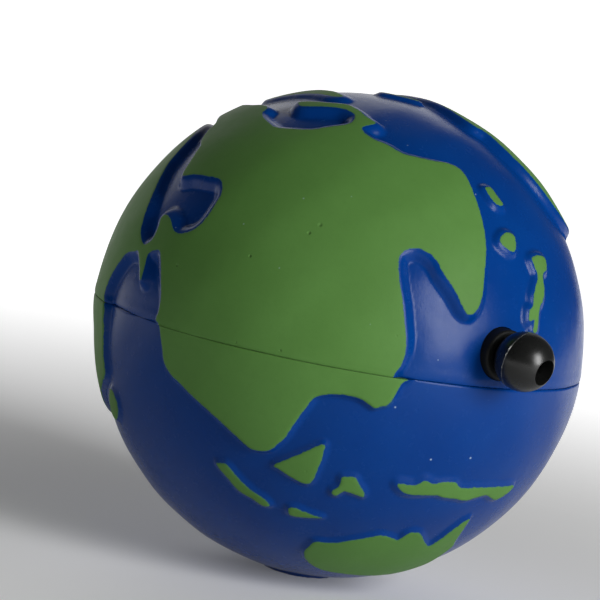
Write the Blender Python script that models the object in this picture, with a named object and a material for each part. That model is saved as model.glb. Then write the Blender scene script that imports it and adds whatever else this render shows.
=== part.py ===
"""Globe-shaped foam stress ball with a pull-cord wobble drive inside.

A foam ball in two bonded halves holds a plastic case. A cord wound on a spring
drum leaves the ball through a moulded guide and ends in a bead. Pulling the
bead winds the mainspring. When the bead is let go, the spring winds the cord
back in, and two pawls, a gear train and an off-centre weight shake the ball.

The ball stands on a small flat, whose centre is the origin. +Z is square to the
plane where the foam halves meet, and +X is the way the cord comes out. All the
sizes below are millimetres. Heights called "level" are measured from the ball's
centre, and everything else from the origin.
"""

from math import acos, atan2, cos, pi, radians, sin, sqrt, tan

import bmesh
import bpy
from mathutils import Vector

MM = 0.001

# Clearances
GAP = 0.3                 # between pieces that touch on the real object
RUNNING = 0.12            # radial, between a shaft and what turns on it

# Foam ball
BALL_RADIUS = 38.2        # over the raised land
BALL_CENTRE = 37.2        # height of the centre, which leaves a small flat to stand on
BALL_SEGMENTS = 48
BALL_ARC_STEPS = 12       # from the seam to a pole

# Case, a rounded rectangle in plan
CASE_CENTRE = (-0.5, -2.3)
CASE_LENGTH = 35.0        # along X
CASE_WIDTH = 40.0         # along Y
CASE_CORNER = 8.0
CASE_WALL = 1.5
CASE_BOTTOM = -7.5        # levels
CASE_SPLIT = 5.0
CASE_TOP = 10.4
CORNER_STEPS = 5
POST_ROOT = 0.4           # how far inside the case's outside a post or a boss starts
SOCKET_ROOT = 0.6         # and the blind hole for a shaft's end
SOCKET_DEPTH = 1.0        # of that hole past the post's end


# Case screws
SCREW_INSET = 3.76        # from the case's sides to each screw's axis
SCREW_BOSS_RADIUS = 2.0
SCREW_RADIUS = 0.95
SCREW_HEAD_RADIUS = 1.75
SCREW_HEAD_HEIGHT = 1.1
SCREW_LENGTH = 13.0
SCREW_POINT = 0.5         # radius of its tip
SCREW_HOLE_ROOT = 0.8     # from the case's bottom to the screw's hole
SCREW_SLOT = (1.2, 0.2)   # half length and half width of each slot in the head

# Cord and its way out
CORD_LEVEL = CASE_SPLIT
CORD_RADIUS = 0.55
CORD_TURNS = 5
GUIDE_BORE = 1.1
GUIDE_TUBE_RADIUS = 2.4
GUIDE_NECK_RADIUS = 1.9   # where the case halves grip it
COLLAR_RADIUS = 3.75
COLLAR_FACE = 37.9        # X of the collar's front
COLLAR_LENGTH = 2.6
MOUTH_RADIUS = 2.5
GUIDE_FLANGE_RADIUS = 3.0   # inside the case, so that it can't pull out
COLLAR_EDGE = 0.6

# Bead
BEAD_RADIUS = 4.3
BEAD_CENTRE_X = 41.7
BEAD_TURN = radians(12)   # its bore turns and droops from the cord's line
BEAD_DROOP = radians(11)
BEAD_HOLE_RADIUS = 1.95
BEAD_WEB_RADIUS = 1.0     # the narrow waist that stops the knot
BEAD_WEB_FRONT = -0.9      # along the bore from the bead's centre
BEAD_WEB_BACK = -1.5
KNOT_RADIUS = 1.3

# Drum, on the spring arbor
DRUM_AXIS = (-4.0, -8.8)
ARBOR_RADIUS = 1.5
DRUM_BOTTOM = 1.5
DRUM_TOP = 8.5
DRUM_FLANGE = 0.7
DRUM_FLANGE_RADIUS = 11.0
DRUM_CORE_RADIUS = 8.25
BARREL_RADIUS = 7.3       # inside of the core, where the mainspring lies
HUB_RADIUS = 2.6
BARREL_COVER = 0.65       # thickness

# Mainspring
SPRING_COILS = 5
SPRING_THICKNESS = 0.35
SPRING_STEPS = 20         # in each coil

# Pawls under the drum
PAWL_PIN_RADIUS = 0.75
PAWL_PIN_ORBIT = 5.0
PAWL_THICKNESS = 1.5
PAWL_BOTTOM_GAP = 0.35    # over the ratchet gear's disc
PAWL_EYE = 0.45           # wall round the pin's hole
PAWL_TIP_HALVES = (0.42, 0.12)   # to the wall's side of the tip and to the other
PAWL_TAIL = 1.1
PAWL_TIP_ORBIT = 8.35
PAWL_TIP_LEAD = radians(40)
PAWL_TIP_SLACK = radians(4.5)   # from the tip to the wall that it pushes

# Gears: teeth and module
DRUM_GEAR = (36, 0.6)
IDLER_PINION = (12, 0.6)
IDLER_WHEEL = (30, 0.5)
ECCENTRIC_PINION = (10, 0.5)
PRESSURE_ANGLE = radians(20)
ADDENDUM = 0.85           # of the module
DEDENDUM = 1.25
BACKLASH = 0.18
RATCHET_TEETH = 12
RATCHET_INNER = 7.8
RATCHET_DEPTH = 0.9
RATCHET_OUTER = 9.6
RATCHET_BOTTOM = -3.0
RATCHET_DISC_TOP = -0.8
RATCHET_TOP = 1.1

IDLER_AXIS = (-5.26, 5.64)
ECCENTRIC_AXIS = (4.37, 8.5)
PIN_RADIUS = 1.0          # idler and eccentric shafts
WHEEL_BOTTOM = -5.4
WHEEL_TOP = -3.4
WEIGHT_RADIUS = 7.2
WEIGHT_BOTTOM = -0.2
WEIGHT_TOP = 8.2
SLEEVE_RADIUS = 2.0
SLEEVE_FLAT = 1.4
SLEEVE_FIT = 0.15         # between the sleeve and the weight's hole
SHOULDER_RADIUS = 2.6     # under the weight
WEIGHT_HUB = 3.3          # of the weight, on its light side
SHAFT_END_INSET = 0.75    # from the case's outside to a shaft's end
SHAFT_BEVEL = 0.2

# Colours and finishes: base colour, roughness, metallic
MATERIALS = {
    "ocean_foam": ((0.01, 0.06, 0.28), 0.45, 0.0),
    "black_plastic": ((0.012, 0.012, 0.013), 0.35, 0.0),
    "grey_plastic": ((0.42, 0.43, 0.44), 0.45, 0.0),
    "gear_plastic": ((0.86, 0.85, 0.80), 0.4, 0.0),
    "drum_plastic": ((0.75, 0.10, 0.06), 0.4, 0.0),
    "steel": ((0.60, 0.61, 0.62), 0.3, 1.0),
    "spring_steel": ((0.30, 0.32, 0.36), 0.3, 1.0),
    "cord_nylon": ((0.03, 0.03, 0.032), 0.7, 0.0),
}


# Building blocks

def clear_scene():
    for item in list(bpy.data.objects):
        bpy.data.objects.remove(item, do_unlink=True)


def make_material(name):
    colour, roughness, metallic = MATERIALS[name]
    material = bpy.data.materials.new(name)
    material.use_nodes = True
    shader = material.node_tree.nodes["Principled BSDF"]
    shader.inputs["Base Color"].default_value = (*colour, 1.0)
    shader.inputs["Roughness"].default_value = roughness
    shader.inputs["Metallic"].default_value = metallic
    material.diffuse_color = (*colour, 1.0)
    return material


def polar(radius, angle, centre=(0.0, 0.0)):
    return centre[0] + radius * cos(angle), centre[1] + radius * sin(angle)


def circle(radius, steps, centre=(0.0, 0.0)):
    return [polar(radius, 2 * pi * i / steps, centre) for i in range(steps)]


def rounded_rectangle(length, width, corner, centre=(0.0, 0.0)):
    points = []
    quadrants = ((1, 1), (-1, 1), (-1, -1), (1, -1))
    for quarter, (sx, sy) in enumerate(quadrants):
        middle = (centre[0] + sx * (length / 2 - corner), centre[1] + sy * (width / 2 - corner))
        for step in range(CORNER_STEPS + 1):
            points.append(polar(corner, pi / 2 * (quarter + step / CORNER_STEPS), middle))
    return points


def finish_object(name, work, material, at=(0.0, 0.0), level=0.0, smooth=True):
    """Turns a bmesh in millimetres into an object whose origin is at a plan point and level."""
    bmesh.ops.remove_doubles(work, verts=work.verts, dist=1e-5)
    bmesh.ops.recalc_face_normals(work, faces=work.faces)
    bmesh.ops.scale(work, vec=(MM, MM, MM), verts=work.verts)
    mesh = bpy.data.meshes.new(name)
    work.to_mesh(mesh)
    work.free()
    if smooth:
        mesh.shade_smooth()
        mesh.set_sharp_from_angle(angle=radians(35))
    item = bpy.data.objects.new(name, mesh)
    item.location = (at[0] * MM, at[1] * MM, (BALL_CENTRE + level) * MM)
    bpy.context.scene.collection.objects.link(item)
    if material is not None:
        mesh.materials.append(material)
    return item


def prism(outlines, low, high):
    """A straight solid between two levels. The first outline is its edge, the others are holes."""
    work = bmesh.new()
    for level in (low, high):
        rim = []
        for outline in outlines:
            corners = [work.verts.new((x, y, level)) for x, y in outline]
            rim += [work.edges.new((corners[i - 1], corners[i])) for i in range(len(corners))]
        bmesh.ops.triangle_fill(work, use_beauty=True, use_dissolve=False, edges=rim)
    work.verts.ensure_lookup_table()
    half = len(work.verts) // 2
    start = 0
    for outline in outlines:
        count = len(outline)
        ring = [start + i for i in range(count)]
        for i in range(count):
            a, b = ring[i - 1], ring[i]
            corners = [work.verts[k] for k in (a, b, b + half, a + half)]
            work.faces.new(corners)
        start += count
    return work


def turned(profile, steps, closed=True):
    """A solid turned about Z from a profile of (radius, level) points."""
    work = bmesh.new()
    corners = [work.verts.new((radius, 0.0, level)) for radius, level in profile]
    edges = [work.edges.new(pair) for pair in zip(corners, corners[1:])]
    if closed:
        edges.append(work.edges.new((corners[-1], corners[0])))
    bmesh.ops.spin(work, geom=corners + edges, cent=(0, 0, 0), axis=(0, 0, 1), angle=2 * pi,
                   steps=steps, use_merge=True, use_duplicate=False)
    return work


def cylinder(radius, low, high, steps=20):
    return prism([circle(radius, steps)], low, high)


def combine(target, tool, operation):
    """Adds the tool to the target, or cuts it away, with a Boolean modifier."""
    modifier = target.modifiers.new(operation.lower(), "BOOLEAN")
    modifier.operation = operation
    modifier.object = tool
    tool.hide_render = True
    tool.display_type = "WIRE"


def tool(target, operation, work, at=(0.0, 0.0), level=0.0, rotation=(0, 0, 0)):
    """Makes a hidden helper solid and combines it with the target."""
    helper = finish_object(target.name + "_tool", work, None, at, level, smooth=False)
    helper.rotation_euler = rotation
    combine(target, helper, operation)
    return helper


def keep_parent(child, parent):
    """Parents without moving the child."""
    bpy.context.view_layer.update()
    child.parent = parent
    child.matrix_parent_inverse = parent.matrix_world.inverted()


# Gears

def involute(angle):
    return tan(angle) - angle


def gear_outline(gear, tooth_angle):
    """An involute gear's edge, with one tooth centred at tooth_angle."""
    teeth, module = gear
    pitch = teeth * module / 2
    base = pitch * cos(PRESSURE_ANGLE)
    root = pitch - DEDENDUM * module
    tip = pitch + ADDENDUM * module
    half_at_pitch = (pi * module / 2 - BACKLASH) / 2 / pitch
    flank = []
    for radius in (root, max(base, root + 0.1), pitch, tip):
        pressure = acos(base / max(radius, base))
        flank.append((radius, half_at_pitch + involute(PRESSURE_ANGLE) - involute(pressure)))
    points = []
    for tooth in range(teeth):
        middle = tooth_angle + 2 * pi * tooth / teeth
        points += [polar(radius, middle - half) for radius, half in flank]
        points += [polar(radius, middle + half) for radius, half in reversed(flank)]
    return points


def saw_outline():
    """The ratchet cup's inside: slow ramps outwards, each ended by a steep wall."""
    points = []
    pitch = 2 * pi / RATCHET_TEETH
    for tooth in range(RATCHET_TEETH):
        start = PAWL_TIP_LEAD + PAWL_TIP_SLACK + tooth * pitch
        for part in (0.0, 0.33, 0.66, 0.98):
            points.append(polar(RATCHET_INNER + RATCHET_DEPTH * part, start + part * pitch))
    return points


def direction(start, end):
    return atan2(end[1] - start[1], end[0] - start[0])


# Foam and case

def ball_profile(side):
    """From the seam's centre out to the rim and round to the pole, on one side of the seam."""
    seam = GAP / 2
    profile = [(0.0, side * seam)]
    flat = side * BALL_CENTRE if side < 0 else BALL_RADIUS
    first = acos(seam / BALL_RADIUS)
    last = acos(abs(flat) / BALL_RADIUS)
    for step in range(BALL_ARC_STEPS + 1):
        from_pole = first + (last - first) * step / BALL_ARC_STEPS
        radius = BALL_RADIUS * sin(from_pole)
        profile.append((radius, side * BALL_RADIUS * cos(from_pole)))
    if side < 0:
        profile.append((0.0, flat))
    return profile


def case_block(grow, low, high):
    outline = rounded_rectangle(CASE_LENGTH + 2 * grow, CASE_WIDTH + 2 * grow,
                                CASE_CORNER + grow, CASE_CENTRE)
    return prism([outline], low, high)


def make_foam(materials):
    halves = []
    for name, side in (("foam_upper_half", 1), ("foam_lower_half", -1)):
        half = finish_object(name, turned(ball_profile(side), BALL_SEGMENTS, closed=False),
                             materials["ocean_foam"])
        floor, roof = CASE_BOTTOM - GAP, CASE_TOP + GAP
        span = (-GAP, roof) if side > 0 else (floor, GAP)
        tool(half, "DIFFERENCE", case_block(GAP, *span))
        halves.append(half)
    along_x = (0, pi / 2, 0)
    case_face = CASE_CENTRE[0] + CASE_LENGTH / 2
    collar_back = COLLAR_FACE - COLLAR_LENGTH
    tube_hole = cylinder(GUIDE_TUBE_RADIUS + GAP, case_face - 2, BALL_RADIUS)
    collar_hole = cylinder(COLLAR_RADIUS + GAP, collar_back - GAP, BALL_RADIUS + 2, steps=32)
    tool(halves[0], "DIFFERENCE", tube_hole, level=CORD_LEVEL, rotation=along_x)
    tool(halves[0], "DIFFERENCE", collar_hole, level=CORD_LEVEL, rotation=along_x)
    return halves


def screw_places():
    across = CASE_LENGTH / 2 - SCREW_INSET
    along = CASE_WIDTH / 2 - SCREW_INSET
    return [(CASE_CENTRE[0] + sx * across, CASE_CENTRE[1] + sy * along)
            for sx, sy in ((1, 1), (-1, 1), (-1, -1), (1, -1))]


def case_shell(name, closed_end, open_end, material):
    """A tray with its floor at one end, before its posts and holes."""
    inward = CASE_WALL if open_end > closed_end else -CASE_WALL
    shell = finish_object(name, case_block(0.0, *sorted((closed_end, open_end))), material)
    beyond = open_end + inward
    tool(shell, "DIFFERENCE", case_block(-CASE_WALL, *sorted((closed_end + inward, beyond))))
    return shell


def make_case(materials):
    along_x = (0, pi / 2, 0)
    case_face = CASE_CENTRE[0] + CASE_LENGTH / 2
    lower = case_shell("case_lower", CASE_BOTTOM, CASE_SPLIT - GAP / 2, materials["grey_plastic"])
    upper = case_shell("case_upper", CASE_TOP, CASE_SPLIT + GAP / 2, materials["grey_plastic"])
    for place in screw_places():
        low_boss = cylinder(SCREW_BOSS_RADIUS, CASE_BOTTOM + POST_ROOT, CASE_SPLIT - GAP / 2)
        high_boss = cylinder(SCREW_BOSS_RADIUS, CASE_SPLIT + GAP / 2, CASE_TOP - POST_ROOT)
        tool(lower, "UNION", low_boss, place)
        tool(upper, "UNION", high_boss, place)
    posts = ((DRUM_AXIS, 3.0, ARBOR_RADIUS, RATCHET_BOTTOM - GAP, DRUM_TOP + GAP),
             (IDLER_AXIS, 2.0, PIN_RADIUS, WHEEL_BOTTOM - 0.2, RATCHET_DISC_TOP + 0.5),
             (ECCENTRIC_AXIS, 2.0, PIN_RADIUS, WHEEL_BOTTOM - 0.4, WEIGHT_TOP + 0.35))
    for place, radius, shaft, bottom_end, top_end in posts:
        tool(lower, "UNION", cylinder(radius, CASE_BOTTOM + POST_ROOT, bottom_end), place)
        tool(upper, "UNION", cylinder(radius, top_end, CASE_TOP - POST_ROOT), place)
        low_hole = cylinder(shaft + RUNNING, CASE_BOTTOM + SOCKET_ROOT, bottom_end + SOCKET_DEPTH)
        high_hole = cylinder(shaft + RUNNING, top_end - SOCKET_DEPTH, CASE_TOP - SOCKET_ROOT)
        tool(lower, "DIFFERENCE", low_hole, place)
        tool(upper, "DIFFERENCE", high_hole, place)
    for place in screw_places():
        shank = cylinder(SCREW_RADIUS + RUNNING, CASE_BOTTOM + SCREW_HOLE_ROOT, CASE_TOP + 1, steps=16)
        helper = tool(lower, "DIFFERENCE", shank, place)
        combine(upper, helper, "DIFFERENCE")
        head_low = CASE_TOP - SCREW_HEAD_HEIGHT - GAP
        head = cylinder(SCREW_HEAD_RADIUS + 0.15, head_low, CASE_TOP + 1, steps=16)
        tool(upper, "DIFFERENCE", head, place)
    neck = cylinder(GUIDE_NECK_RADIUS + GAP, case_face - 3, case_face + 1)
    helper = tool(lower, "DIFFERENCE", neck, level=CORD_LEVEL, rotation=along_x)
    combine(upper, helper, "DIFFERENCE")
    return lower, upper


def make_screws(materials):
    head_low = CASE_TOP - SCREW_HEAD_HEIGHT
    profile = [(0, CASE_TOP - SCREW_LENGTH), (SCREW_POINT, CASE_TOP - SCREW_LENGTH),
               (SCREW_RADIUS, CASE_TOP - SCREW_LENGTH + 1), (SCREW_RADIUS, head_low),
               (SCREW_HEAD_RADIUS, head_low), (SCREW_HEAD_RADIUS, CASE_TOP - 0.5),
               (SCREW_HEAD_RADIUS - 0.4, CASE_TOP - 0.15), (0, CASE_TOP - 0.05)]
    for number, place in enumerate(screw_places(), start=1):
        screw = finish_object(f"case_screw_{number}", turned(profile, 16, closed=False),
                              materials["steel"], place)
        long, wide = SCREW_SLOT
        slot = [(-long, -wide), (long, -wide), (long, wide), (-long, wide)]
        for quarter in (0, pi / 2):
            tool(screw, "DIFFERENCE", prism([slot], CASE_TOP - 0.7, CASE_TOP + 0.5), place,
                 rotation=(0, 0, quarter + pi / 4))


def make_shafts(materials):
    shafts = (("spring_arbor", DRUM_AXIS, ARBOR_RADIUS), ("idler_shaft", IDLER_AXIS, PIN_RADIUS),
              ("eccentric_shaft", ECCENTRIC_AXIS, PIN_RADIUS))
    low, high, bevel = CASE_BOTTOM + SHAFT_END_INSET, CASE_TOP - SHAFT_END_INSET, SHAFT_BEVEL
    for name, place, radius in shafts:
        profile = [(0, low), (radius - bevel, low), (radius, low + bevel),
                   (radius, high - bevel), (radius - bevel, high), (0, high)]
        finish_object(name, turned(profile, 24, closed=False), materials["steel"], place)


# Cord guide, cord and bead

def make_guide(materials):
    case_face = CASE_CENTRE[0] + CASE_LENGTH / 2
    inside = case_face - CASE_WALL - GAP
    outside = case_face + GAP
    back = COLLAR_FACE - COLLAR_LENGTH
    edge = COLLAR_EDGE
    profile = [(GUIDE_BORE, inside - 0.6), (GUIDE_BORE + 0.6, inside - 1.3),
               (GUIDE_FLANGE_RADIUS, inside - 1.3), (GUIDE_FLANGE_RADIUS, inside),
               (GUIDE_NECK_RADIUS, inside), (GUIDE_NECK_RADIUS, outside),
               (GUIDE_TUBE_RADIUS, outside), (GUIDE_TUBE_RADIUS, back), (COLLAR_RADIUS - edge, back)]
    for step in range(4):
        angle = -pi / 2 + pi / 2 * (step + 1) / 4
        profile.append((COLLAR_RADIUS - edge + edge * cos(angle), back + edge + edge * sin(angle)))
    for step in range(5):
        angle = pi / 2 * step / 4
        profile.append((COLLAR_RADIUS - edge + edge * cos(angle), COLLAR_FACE - edge + edge * sin(angle)))
    profile += [(MOUTH_RADIUS, COLLAR_FACE), (MOUTH_RADIUS - 0.5, COLLAR_FACE - 0.5),
                (GUIDE_BORE, COLLAR_FACE - COLLAR_LENGTH)]
    guide = finish_object("cord_guide", turned(profile, 24), materials["black_plastic"],
                          level=CORD_LEVEL)
    guide.rotation_euler = (0, pi / 2, 0)
    return guide


def bead_axis():
    """The way the bead's wide hole faces."""
    return Vector((cos(BEAD_DROOP) * cos(BEAD_TURN), cos(BEAD_DROOP) * sin(BEAD_TURN),
                   -sin(BEAD_DROOP)))


def knot_place():
    """How far along the bore the knot's centre lies from the bead's, resting on the waist."""
    return BEAD_WEB_FRONT + GAP + KNOT_RADIUS


def make_bead_and_knot(materials):
    turn = bead_axis().to_track_quat("Z", "Y").to_euler()
    hole_edge = sqrt(BEAD_RADIUS ** 2 - BEAD_HOLE_RADIUS ** 2)
    profile = [(BEAD_HOLE_RADIUS - 0.1, BEAD_WEB_FRONT), (BEAD_HOLE_RADIUS, BEAD_WEB_FRONT + 0.1)]
    first = acos(hole_edge / BEAD_RADIUS)
    for step in range(13):
        angle = first + (pi - 2 * first) * step / 12
        profile.append((BEAD_RADIUS * sin(angle), BEAD_RADIUS * cos(angle)))
    profile += [(BEAD_WEB_RADIUS, BEAD_WEB_BACK), (BEAD_WEB_RADIUS, BEAD_WEB_FRONT)]
    bead = finish_object("pull_bead", turned(profile, 28), materials["black_plastic"],
                         level=CORD_LEVEL)
    bead.location.x = BEAD_CENTRE_X * MM
    bead.rotation_euler = turn
    middle = knot_place()
    arc = [(KNOT_RADIUS * sin(pi * i / 8), middle - KNOT_RADIUS * cos(pi * i / 8)) for i in range(9)]
    knot = finish_object("cord_knot", turned(arc, 16, closed=False), materials["cord_nylon"],
                         level=CORD_LEVEL)
    knot.location.x = BEAD_CENTRE_X * MM
    knot.rotation_euler = turn
    return bead, knot


def make_cord(materials):
    """The straight run, from where it leaves the wound turns to just short of its knot."""
    outer = DRUM_CORE_RADIUS + 2 * CORD_RADIUS + GAP + CORD_RADIUS
    start = DRUM_AXIS[0] + sqrt(outer ** 2 - DRUM_AXIS[1] ** 2)
    end = BEAD_CENTRE_X + knot_place() - KNOT_RADIUS - GAP
    points = 14
    curve = bpy.data.curves.new("pull_cord", "CURVE")
    curve.dimensions = "3D"
    curve.bevel_depth = CORD_RADIUS * MM
    curve.bevel_resolution = 2
    curve.use_fill_caps = True
    spline = curve.splines.new("POLY")
    spline.points.add(points - 1)
    for i, point in enumerate(spline.points):
        point.co = ((start + (end - start) * i / (points - 1)) * MM, 0, 0, 1)
    curve.materials.append(materials["cord_nylon"])
    cord = bpy.data.objects.new("pull_cord", curve)
    cord.location.z = (BALL_CENTRE + CORD_LEVEL) * MM
    bpy.context.scene.collection.objects.link(cord)
    return cord


# Drum, spring and pawls

def make_drum(materials):
    top, bottom, rim = DRUM_TOP, DRUM_BOTTOM, DRUM_FLANGE_RADIUS
    profile = [(ARBOR_RADIUS + RUNNING, RATCHET_DISC_TOP + GAP), (HUB_RADIUS, RATCHET_DISC_TOP + GAP),
               (HUB_RADIUS, bottom), (rim, bottom), (rim, bottom + DRUM_FLANGE),
               (DRUM_CORE_RADIUS, bottom + DRUM_FLANGE), (DRUM_CORE_RADIUS, top - DRUM_FLANGE),
               (rim, top - DRUM_FLANGE), (rim, top), (BARREL_RADIUS, top),
               (BARREL_RADIUS, bottom + DRUM_FLANGE), (ARBOR_RADIUS + RUNNING, bottom + DRUM_FLANGE)]
    drum = finish_object("cord_drum", turned(profile, 32), materials["drum_plastic"], DRUM_AXIS)
    for angle in (0, pi):
        place = polar(PAWL_PIN_ORBIT, angle, DRUM_AXIS)
        pin = cylinder(PAWL_PIN_RADIUS, RATCHET_DISC_TOP + PAWL_BOTTOM_GAP, bottom + 0.3, steps=16)
        tool(drum, "UNION", pin, place)
    cover_low = top - BARREL_COVER
    cover = prism([circle(BARREL_RADIUS - GAP, 36), circle(ARBOR_RADIUS + GAP, 16)], cover_low, top)
    cover = finish_object("barrel_cover", cover, materials["drum_plastic"], DRUM_AXIS)
    return drum, cover


def make_winding(materials):
    """The cord's wound turns as one ring with a rounded ridge for each turn."""
    inner = DRUM_CORE_RADIUS + GAP
    ridge = DRUM_CORE_RADIUS + CORD_RADIUS
    bottom = DRUM_BOTTOM + DRUM_FLANGE
    pitch = (DRUM_TOP - DRUM_FLANGE - bottom) / CORD_TURNS
    profile = [(inner, bottom + CORD_TURNS * pitch - GAP), (inner, bottom + GAP)]
    for turn in range(CORD_TURNS):
        middle = bottom + (turn + 0.5) * pitch
        reach = min(CORD_RADIUS, pitch / 2 - 0.02) - (0.28 if turn in (0, CORD_TURNS - 1) else 0.0)
        for step in range(3):
            angle = -pi / 2 + pi * (step + 0.5) / 3
            profile.append((ridge + CORD_RADIUS * cos(angle), middle + reach * sin(angle)))
    return finish_object("cord_winding", turned(profile, 28), materials["cord_nylon"], DRUM_AXIS)


def make_mainspring(materials):
    """A flat strip coiled from the arbor out to the barrel's wall."""
    first = ARBOR_RADIUS + GAP + SPRING_THICKNESS / 2
    last = BARREL_RADIUS - GAP - SPRING_THICKNESS / 2
    steps = SPRING_COILS * SPRING_STEPS
    inner, outer = [], []
    for step in range(steps + 1):
        angle = 2 * pi * SPRING_COILS * step / steps
        middle = first + (last - first) * step / steps
        inner.append(polar(middle - SPRING_THICKNESS / 2, angle))
        outer.append(polar(middle + SPRING_THICKNESS / 2, angle))
    low, high = DRUM_BOTTOM + DRUM_FLANGE + GAP, DRUM_TOP - BARREL_COVER - GAP
    work = bmesh.new()
    layers = [[work.verts.new((x, y, level)) for x, y in side]
              for side, level in ((inner, low), (outer, low), (outer, high), (inner, high))]
    for a, b in zip(layers, layers[1:] + layers[:1]):
        for i in range(steps):
            work.faces.new((a[i], a[i + 1], b[i + 1], b[i]))
    work.faces.new([layer[0] for layer in layers])
    work.faces.new([layer[-1] for layer in layers])
    return finish_object("mainspring", work, materials["spring_steel"], DRUM_AXIS)


def pawl_outline():
    """An eye round the pin, an arm out to the blunt tip, and a thin tail that springs it out."""
    tip = polar(PAWL_TIP_ORBIT, PAWL_TIP_LEAD)
    tip = (tip[0] - PAWL_PIN_ORBIT, tip[1])
    arm = atan2(tip[1], tip[0])
    across = arm - pi / 2
    eye = PAWL_PIN_RADIUS + RUNNING + PAWL_EYE
    front, back = PAWL_TIP_HALVES
    points = [polar(front, across + pi, tip), polar(back, across, tip)]
    for step in range(9):
        angle = across + 0.3 - (pi + 0.9) * step / 8
        points.append(polar(eye, angle))
    points.append(polar(PAWL_TAIL, arm + 0.55))
    return points[::-1]


def make_pawls(materials):
    pawls = []
    bottom = RATCHET_DISC_TOP + PAWL_BOTTOM_GAP
    for number, angle in enumerate((0.0, pi), start=1):
        hole = circle(PAWL_PIN_RADIUS + RUNNING, 16)
        place = polar(PAWL_PIN_ORBIT, angle, DRUM_AXIS)
        plate = prism([pawl_outline(), hole], bottom, bottom + PAWL_THICKNESS)
        pawl = finish_object(f"pawl_{number}", plate, materials["gear_plastic"], place)
        pawl.rotation_euler = (0, 0, angle)
        pawls.append(pawl)
    return pawls


# Gear train

def make_ratchet_gear(materials):
    teeth = gear_outline(DRUM_GEAR, direction(DRUM_AXIS, IDLER_AXIS))
    bore = circle(ARBOR_RADIUS + RUNNING, 24)
    gear = finish_object("ratchet_gear", prism([teeth, bore], RATCHET_BOTTOM, RATCHET_DISC_TOP),
                         materials["gear_plastic"], DRUM_AXIS)
    cup = prism([circle(RATCHET_OUTER, 36), saw_outline()], RATCHET_DISC_TOP - 0.5, RATCHET_TOP)
    tool(gear, "UNION", cup, DRUM_AXIS)
    return gear


def make_idler(materials):
    bore = circle(PIN_RADIUS + RUNNING, 24)
    wheel_teeth = gear_outline(IDLER_WHEEL, direction(IDLER_AXIS, ECCENTRIC_AXIS))
    gap_angle = direction(IDLER_AXIS, DRUM_AXIS)
    pinion_teeth = gear_outline(IDLER_PINION, gap_angle + pi / IDLER_PINION[0])
    idler = finish_object("idler_gear", prism([wheel_teeth, bore], WHEEL_BOTTOM, WHEEL_TOP),
                          materials["gear_plastic"], IDLER_AXIS)
    pinion = prism([pinion_teeth, bore], WHEEL_TOP - 0.5, RATCHET_DISC_TOP + 0.2)
    tool(idler, "UNION", pinion, IDLER_AXIS)
    return idler


def flatted_circle(radius, flat, steps=24):
    """A circle with a flat on its +X side."""
    half = acos(flat / radius)
    return [polar(radius, half + (2 * pi - 2 * half) * i / steps) for i in range(steps + 1)]


def make_eccentric(materials):
    bore = circle(PIN_RADIUS + RUNNING, 24)
    gap_angle = direction(ECCENTRIC_AXIS, IDLER_AXIS)
    teeth = gear_outline(ECCENTRIC_PINION, gap_angle + pi / ECCENTRIC_PINION[0])
    pinion = finish_object("eccentric_pinion", prism([teeth, bore], WHEEL_BOTTOM - 0.1, WHEEL_TOP + 0.5),
                           materials["gear_plastic"], ECCENTRIC_AXIS)
    shoulder = prism([circle(SHOULDER_RADIUS, 24), bore], WHEEL_TOP + GAP, WEIGHT_BOTTOM - GAP)
    tool(pinion, "UNION", shoulder, ECCENTRIC_AXIS)
    sleeve = prism([flatted_circle(SLEEVE_RADIUS, SLEEVE_FLAT), bore], WHEEL_TOP, WEIGHT_TOP)
    tool(pinion, "UNION", sleeve, ECCENTRIC_AXIS)

    start = -pi / 2
    edge = [polar(WEIGHT_RADIUS, start + pi * i / 20) for i in range(21)]
    edge += [polar(WEIGHT_HUB, pi / 2 + pi * i / 10) for i in range(11)]
    hole = flatted_circle(SLEEVE_RADIUS + SLEEVE_FIT, SLEEVE_FLAT + SLEEVE_FIT)
    weight = finish_object("eccentric_weight", prism([edge, hole], WEIGHT_BOTTOM, WEIGHT_TOP),
                           materials["steel"], ECCENTRIC_AXIS)
    return pinion, weight


def main():
    clear_scene()
    materials = {name: make_material(name) for name in MATERIALS}
    make_foam(materials)
    make_case(materials)
    make_screws(materials)
    make_shafts(materials)
    make_guide(materials)
    make_mainspring(materials)
    drum, cover = make_drum(materials)
    keep_parent(cover, drum)
    keep_parent(make_winding(materials), drum)
    for pawl in make_pawls(materials):
        keep_parent(pawl, drum)
    make_ratchet_gear(materials)
    make_idler(materials)
    pinion, weight = make_eccentric(materials)
    keep_parent(weight, pinion)
    cord = make_cord(materials)
    bead, knot = make_bead_and_knot(materials)
    keep_parent(knot, cord)
    keep_parent(bead, cord)


main()
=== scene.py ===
"""Looks of the globe stress ball: moulded foam with raised painted land, a black
pull bead on its collar, and the wound spring drive inside.

Sizes are millimetres in the comments and constants, and metres in the meshes.
Directions on the ball are given as longitude and latitude on its world map.
"""

from math import acos, asin, cos, exp, pi, radians, sin, sqrt

import bmesh
import bpy
import numpy as np
from mathutils import Matrix, Vector
from mathutils.kdtree import KDTree


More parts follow.
